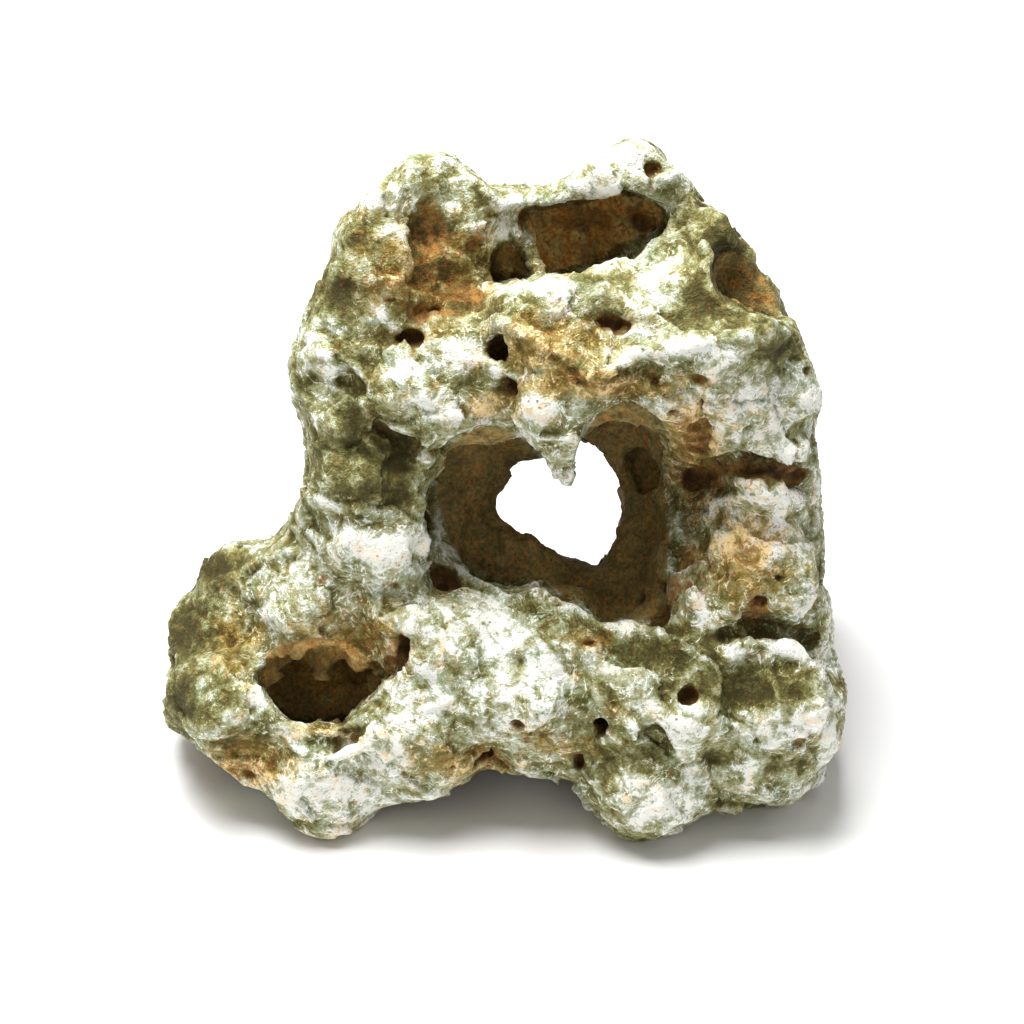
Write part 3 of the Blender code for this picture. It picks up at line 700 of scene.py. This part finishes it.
def mark(stone):
    """Notes on each point how chalky the stone is, with painted light and shade in it, and how rusty, tanned,
    shut in and raised.
    """
    mesh = stone.data
    points = points_of(mesh) / MM
    normals = normals_of(mesh)
    to_eye = np.array(EYE) - points
    to_eye /= np.linalg.norm(to_eye, axis=1)[:, None]
    seen = smoothstep((normals * to_eye).sum(axis=1), UNSEEN, SEEN)
    hidden = 1.0 - seen
    across, down = pixels_of(points)
    wide = blotches(points, WIDE_SIZE, WIDE_OFFSET)
    blotch = blotches(points, BLOTCH_SIZE, BLOTCH_OFFSET)
    chalk_and_light = patched(CHALK_AND_LIT_PATCHES, across, down) - patched(OLIVE_AND_SHADED_PATCHES, across, down)
    # Paler on faces that look up: painted light from above, laid over chalk blotches.
    chalk_and_top_light_behind = 1.1 * wide + 0.35 * normals[:, 2] + 0.1
    rust_behind = np.clip(blotch * 1.3, 0.0, 0.9)
    tan_behind = np.clip(0.15 - wide, 0.0, 0.8)
    give(mesh, "chalk_and_light", seen * chalk_and_light + hidden * chalk_and_top_light_behind)
    give(mesh, "rust", seen * patched(RUSTY, across, down) + hidden * rust_behind)
    give(mesh, "tan", seen * patched(TANNED, across, down) + hidden * tan_behind)
    walls, caves = inner_walls(points, across, down)
    give(mesh, "wall", seen * walls)
    give(mesh, "cave", caves)
    give(mesh, "shut", enclosed(stone, points, normals))
    give(mesh, "raised", np.clip(bulge(stone, points, normals, BULGE_ROUNDS), -MOST_BULGE, MOST_BULGE))


def linear(value):
    """A screen value, 0 to 255, as a number that is in proportion to the light."""
    share = value / 255
    return ((share + 0.055) / 1.055) ** 2.4 if value > 10 else share / 12.92


def colour(red, green, blue):
    """A screen colour, 0 to 255, as the shader's numbers."""
    return linear(red), linear(green), linear(blue), 1.0


# The stone's colours from its darkest to its chalkiest, and where a bare patch of it lies between them.
TONES = (
    (0.10, colour(68, 62, 26)), (0.28, colour(94, 88, 44)), (0.40, colour(124, 120, 70)),
    (0.50, colour(154, 153, 108)), (0.60, colour(180, 183, 150)), (0.69, colour(206, 211, 192)),
    (0.79, colour(252, 252, 242)),
)
TONE_AT_REST = 0.505

# How much each noise moves the tone, and the colours that lie over it.
BROAD_SHARE, MIDDLE_SHARE, FLAKES_SHARE, FINE_SHARE, SAND_SHARE = 0.60, 1.10, 0.60, 0.36, 0.26
COOL_TINT = colour(218, 232, 230)
PALE_TAN, DEEP_TAN = colour(255, 228, 176), colour(246, 206, 146)
PALE_SPECK, DARK_SPECK = colour(168, 100, 44), colour(120, 70, 30)
PALE_RUST, DEEP_RUST, OLD_RUST = colour(172, 124, 62), colour(120, 84, 38), colour(76, 48, 18)
CAVE_BROWN, CAVE_TAN, CAVE_ORANGE = colour(138, 124, 74), colour(178, 150, 86), colour(206, 140, 66)
# Ochres painted lighter than the stone for open walls: painted light.
PAINTED_LIGHT_OCHRE, PAINTED_LIGHT_ORANGE, PAINTED_LIGHT_BROWN = colour(240, 212, 136), colour(255, 190, 96), colour(214, 138, 56)
WALL_SPOT = colour(66, 50, 22)
# Brown dirt and painted shade for what is shut in.
DARK_DIRT_AND_SHADE, PALE_DIRT_AND_SHADE = colour(66, 48, 20), colour(112, 88, 46)
PINHOLE_BROWN = colour(88, 60, 28)
BUMP_DEPTH = 1.1
STONE_ROUGHNESS = 0.82
STONE_SPECULAR = 0.30


class Paint:
    """A procedural material: each method adds a node and gives back its output."""

    def __init__(self, name):
        self.material = bpy.data.materials.new(name)
        self.material.use_nodes = True
        self.nodes = self.material.node_tree.nodes
        self.links = self.material.node_tree.links
        self.shader = self.nodes["Principled BSDF"]
        self.place = self.nodes.new("ShaderNodeTexCoord").outputs["Object"]

    def put(self, socket, value):
        if isinstance(value, bpy.types.NodeSocket):
            self.links.new(value, socket)
        else:
            socket.default_value = value

    def note(self, name):
        """A value that the mesh keeps for each point."""
        node = self.nodes.new("ShaderNodeAttribute")
        node.attribute_name = name
        return node.outputs["Fac"]

    def maths(self, kind, a, b=0.0, c=0.0):
        node = self.nodes.new("ShaderNodeMath")
        node.operation = kind
        for socket, value in zip(node.inputs, (a, b, c)):
            self.put(socket, value)
        return node.outputs[0]

    def total(self, *terms):
        """The sum of each value times its weight."""
        result = 0.0
        for value, weight in terms:
            result = self.maths("MULTIPLY_ADD", value, weight, result)
        return result

    def moved(self, by):
        """The place on the stone, moved so that a noise there is unlike the others."""
        node = self.nodes.new("ShaderNodeVectorMath")
        node.operation = "ADD"
        self.put(node.inputs[0], self.place)
        node.inputs[1].default_value = (by, by * 0.7, -by)
        return node.outputs[0]

    def grain(self, size, detail=4.0, rough=0.6, by=0.0, bend=0.0):
        """Noise between about 0 and 1 whose features are that many millimetres."""
        node = self.nodes.new("ShaderNodeTexNoise")
        self.put(node.inputs["Vector"], self.moved(by))
        node.inputs["Scale"].default_value = 1.0 / (size * MM)
        node.inputs["Detail"].default_value = detail
        node.inputs["Roughness"].default_value = rough
        node.inputs["Distortion"].default_value = bend
        return node.outputs["Fac"]

    def cells(self, size, by=0.0):
        """How far the nearest of some scattered points is, and that point's own random colour."""
        node = self.nodes.new("ShaderNodeTexVoronoi")
        self.put(node.inputs["Vector"], self.moved(by))
        node.inputs["Scale"].default_value = 1.0 / (size * MM)
        return node.outputs["Distance"], node.outputs["Color"]

    def ramp(self, value, low, high, to_low=0.0, to_high=1.0):
        """A smooth change from one number to another as the value goes from low to high."""
        node = self.nodes.new("ShaderNodeMapRange")
        node.interpolation_type = "SMOOTHSTEP"
        self.put(node.inputs["Value"], value)
        self.put(node.inputs["From Min"], low)
        self.put(node.inputs["From Max"], high)
        self.put(node.inputs["To Min"], to_low)
        self.put(node.inputs["To Max"], to_high)
        return node.outputs["Result"]

    def line(self, value, width):
        """1 where a noise crosses its middle and 0 away from there: a thin winding line."""
        away = self.maths("ABSOLUTE", self.maths("SUBTRACT", value, 0.5))
        return self.ramp(away, 0.0, width, 1.0, 0.0)

    def scale(self, value, stops):
        """A run of colours along a value."""
        node = self.nodes.new("ShaderNodeValToRGB")
        self.put(node.inputs["Fac"], value)
        steps = node.color_ramp.elements
        while len(steps) < len(stops):
            steps.new(0.5)
        for step, (place, tint) in zip(steps, stops):
            step.position = place
            step.color = tint
        return node.outputs["Color"]

    def mix(self, share, a, b, blend="MIX"):
        node = self.nodes.new("ShaderNodeMix")
        node.data_type = "RGBA"
        node.blend_type = blend
        self.put(node.inputs["Factor"], share)
        self.put(node.inputs[6], a)
        self.put(node.inputs[7], b)
        return node.outputs[2]

    def bump(self, height, depth):
        node = self.nodes.new("ShaderNodeBump")
        node.inputs["Strength"].default_value = 1.0
        node.inputs["Distance"].default_value = depth * MM
        self.put(node.inputs["Height"], height)
        return node.outputs["Normal"]


class Limestone(Paint):
    """The stone's material, built up in layers, each one laid over the surface before it."""

    def __init__(self):
        super().__init__("limestone")
        self.chalk_and_light = self.note("chalk_and_light")
        self.rust = self.note("rust")
        self.tan = self.note("tan")
        self.shut = self.note("shut")
        self.raised = self.note("raised")
        self.wall = self.note("wall")
        self.cave = self.note("cave")
        self.broad = self.grain(18, 3)
        self.middle = self.grain(7, 4, 0.64, 0.3, 0.7)
        self.flakes = self.grain(3.0, 4, 0.70, 3.3, 1.0)
        self.fine = self.grain(1.3, 3, 0.65, 0.7)
        self.sand = self.grain(0.5, 1, 0.6, 1.1)

    def veins(self):
        """Thin pale lines, in patches and not where the stone is bare."""
        winding = self.line(self.grain(10, 3, 0.55, 4.7, 1.6), 0.028)
        broken = self.maths("MULTIPLY", winding, self.ramp(self.flakes, 0.42, 0.56))
        return self.maths("MULTIPLY", broken, self.ramp(self.chalk_and_light, -0.9, 0.2))

    def cracks(self):
        """Hair-thin dark lines in some areas."""
        winding = self.line(self.grain(12, 3, 0.6, 7.7, 1.2), 0.010)
        return self.maths("MULTIPLY", winding, self.ramp(self.broad, 0.48, 0.60))

    def tone(self):
        """Where the stone lies between its darkest olive and its whitest crust, darker where shut in as
        painted shade.
        """
        tone = self.total(
            (self.chalk_and_light, 0.33), (self.broad, BROAD_SHARE), (self.middle, MIDDLE_SHARE),
            (self.flakes, FLAKES_SHARE), (self.fine, FINE_SHARE), (self.sand, SAND_SHARE),
            # The shut-in term darkens hollows: painted shade.
            (self.raised, 0.17), (self.shut, -0.28), (self.veins(), 0.36), (self.cracks(), -0.12),
        )
        noises = BROAD_SHARE + MIDDLE_SHARE + FLAKES_SHARE + FINE_SHARE + SAND_SHARE
        return self.maths("ADD", tone, TONE_AT_REST - 0.5 * noises)

    def crust(self):
        """Olive stone under a chalky crust, bluish in places, tan in others, with brown specks."""
        tone = self.tone()
        surface = self.scale(tone, TONES)
        bluish = self.ramp(self.grain(9, 2, 0.5, 8.1), 0.50, 0.62, 0.0, 0.5)
        bluish = self.maths("MULTIPLY", bluish, self.ramp(tone, 0.62, 0.74, 1.0, 0.2))
        surface = self.mix(bluish, surface, COOL_TINT, "MULTIPLY")
        warm = self.ramp(self.total((self.tan, 0.50), (self.grain(5, 3, 0.6, 2.1), 1.0)), 0.50, 0.86)
        surface = self.mix(warm, surface, self.mix(self.fine, PALE_TAN, DEEP_TAN), "MULTIPLY")
        spots = self.total((self.grain(1.7, 3, 0.7, 9.3, 0.6), 1.0), (self.tan, 0.10), (self.rust, 0.06))
        speck = self.maths("MULTIPLY", self.ramp(spots, 0.62, 0.70), 0.72)
        return self.mix(speck, surface, self.mix(self.fine, PALE_SPECK, DARK_SPECK))

    def rusted(self, surface):
        """Rust stains, darkest where they are strongest."""
        stain = self.total(
            (self.rust, 0.40), (self.grain(4.2, 4, 0.68, 5.1, 0.6), 0.80), (self.flakes, 0.30),
            (self.shut, 0.25), (self.raised, -0.10),
        )
        colours = self.mix(self.ramp(self.grain(3.0, 2, 0.6, 6.3), 0.38, 0.62), PALE_RUST, DEEP_RUST)
        colours = self.mix(self.ramp(stain, 0.98, 1.28), colours, OLD_RUST)
        return self.mix(self.ramp(stain, 0.78, 1.02, 0.0, 0.88), surface, colours)

    def walled(self, surface):
        """The brown walls of the openings, and the ochre that the open ones are painted lighter with: painted
        light.
        """
        deep = self.mix(self.ramp(self.middle, 0.38, 0.62), CAVE_BROWN, CAVE_TAN)
        deep = self.mix(self.ramp(self.flakes, 0.52, 0.66), deep, CAVE_ORANGE)
        painted_lit = self.mix(self.ramp(self.middle, 0.40, 0.60), PAINTED_LIGHT_OCHRE, PAINTED_LIGHT_ORANGE)
        painted_lit = self.mix(self.ramp(self.flakes, 0.50, 0.64), painted_lit, PAINTED_LIGHT_BROWN)
        painted_lit = self.mix(self.ramp(self.broad, 0.52, 0.40, 0.0, 0.65), painted_lit, DEEP_RUST)
        walls = self.mix(self.cave, painted_lit, deep)
        walls = self.mix(self.ramp(self.fine, 0.38, 0.58, 0.45, 0.0), walls, WALL_SPOT)
        share = self.total((self.wall, 1.0), (self.flakes, 0.6), (self.fine, 0.3))
        return self.mix(self.ramp(share, 0.62, 0.92, 0.0, 0.95), surface, walls)

    def dirtied_and_shaded(self, surface):
        """Brown dirt and painted shade in what is shut in."""
        dirt_and_shade = self.ramp(self.total((self.shut, 1.0), (self.middle, 0.3)), 0.42, 0.95)
        brown = self.mix(self.middle, DARK_DIRT_AND_SHADE, PALE_DIRT_AND_SHADE)
        return self.mix(self.maths("MULTIPLY", dirt_and_shade, 0.6), surface, brown)

    def pricked(self, surface):
        """Dark pinholes, in a few of many small cells."""
        hole, kind = self.cells(2.6, 0.9)
        few = self.ramp(kind, 0.80, 0.82)
        pinhole = self.maths("MULTIPLY", self.ramp(hole, 0.10, 0.24, 1.0, 0.0), few)
        return self.mix(self.maths("MULTIPLY", pinhole, 0.75), surface, PINHOLE_BROWN)

    def finish(self):
        surface = self.pricked(self.dirtied_and_shaded(self.walled(self.rusted(self.crust()))))
        height = self.total((self.flakes, 0.9), (self.fine, 0.8), (self.sand, 0.3))
        self.put(self.shader.inputs["Normal"], self.bump(height, BUMP_DEPTH))
        self.put(self.shader.inputs["Base Color"], surface)
        self.shader.inputs["Roughness"].default_value = STONE_ROUGHNESS
        self.shader.inputs["Specular IOR Level"].default_value = STONE_SPECULAR
        return self.material


def limestone_rock():
    """The finished stone, in place of the plain solid."""
    rock = fine_stone(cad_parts["stone"])
    combine(rock, openings_for(rock), "DIFFERENCE")
    combine(rock, pits_for(rock), "DIFFERENCE")
    rock = with_spurs(rock)
    roughen(rock)
    thin_out(rock)
    for polygon in rock.data.polygons:
        polygon.use_smooth = True
    mark(rock)
    rock.data.materials.clear()
    rock.data.materials.append(Limestone().finish())
    return rock


# The studio, in metres: a white floor, and one square light above it under an even sky.
FLOOR_HALF = 3.0
FLOOR_WHITE = (0.92, 0.92, 0.92, 1)
SKY_STRENGTH = 0.42
LIGHT_WATTS = 16.5
LIGHT_SIDE = 0.5
LIGHT_PLACE = (-0.15, 0.02, 0.95)
LIGHT_AIM = Vector((0, 0, 0.1))

# The camera's sensor in millimetres, and the nearest that it sees in metres.
SENSOR_WIDTH = 36.0
NEAREST_SEEN = 0.01


def studio_floor():
    side = FLOOR_HALF
    corners = [(-side, -side, 0), (side, -side, 0), (side, side, 0), (-side, side, 0)]
    mesh = bpy.data.meshes.new("floor")
    mesh.from_pydata(corners, [], [(0, 1, 2, 3)])
    floor = bpy.data.objects.new("floor", mesh)
    bpy.context.scene.collection.objects.link(floor)
    pale = bpy.data.materials.new("pale_floor")
    pale.use_nodes = True
    pale.node_tree.nodes["Principled BSDF"].inputs["Base Color"].default_value = FLOOR_WHITE
    mesh.materials.append(pale)
    return floor


def studio_camera(scene):
    """A camera at the viewpoint that the stone was laid out from."""
    lens = bpy.data.cameras.new("camera")
    lens.sensor_width = SENSOR_WIDTH
    lens.lens = SENSOR_WIDTH / 2 * EYE_DISTANCE / HALF_WIDTH_AT_AIM
    lens.clip_start = NEAREST_SEEN
    camera = bpy.data.objects.new("camera", lens)
    scene.collection.objects.link(camera)
    camera.location = EYE * MM
    camera.rotation_euler = FORWARD.to_track_quat("-Z", "Y").to_euler()
    scene.camera = camera


def studio_light(scene):
    world = bpy.data.worlds.new("studio")
    world.use_nodes = True
    world.node_tree.nodes["Background"].inputs["Color"].default_value = (1, 1, 1, 1)
    world.node_tree.nodes["Background"].inputs["Strength"].default_value = SKY_STRENGTH
    scene.world = world
    scene.view_settings.view_transform = "Standard"
    lamp = bpy.data.lights.new("softbox", "AREA")
    lamp.energy = LIGHT_WATTS
    lamp.size = LIGHT_SIDE
    softbox = bpy.data.objects.new("softbox", lamp)
    scene.collection.objects.link(softbox)
    softbox.location = LIGHT_PLACE
    softbox.rotation_euler = (LIGHT_AIM - softbox.location).to_track_quat("-Z", "Y").to_euler()


rock = limestone_rock()
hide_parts("stone")
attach(rock, "root")

floor = studio_floor()
studio_camera(bpy.context.scene)
studio_light(bpy.context.scene)
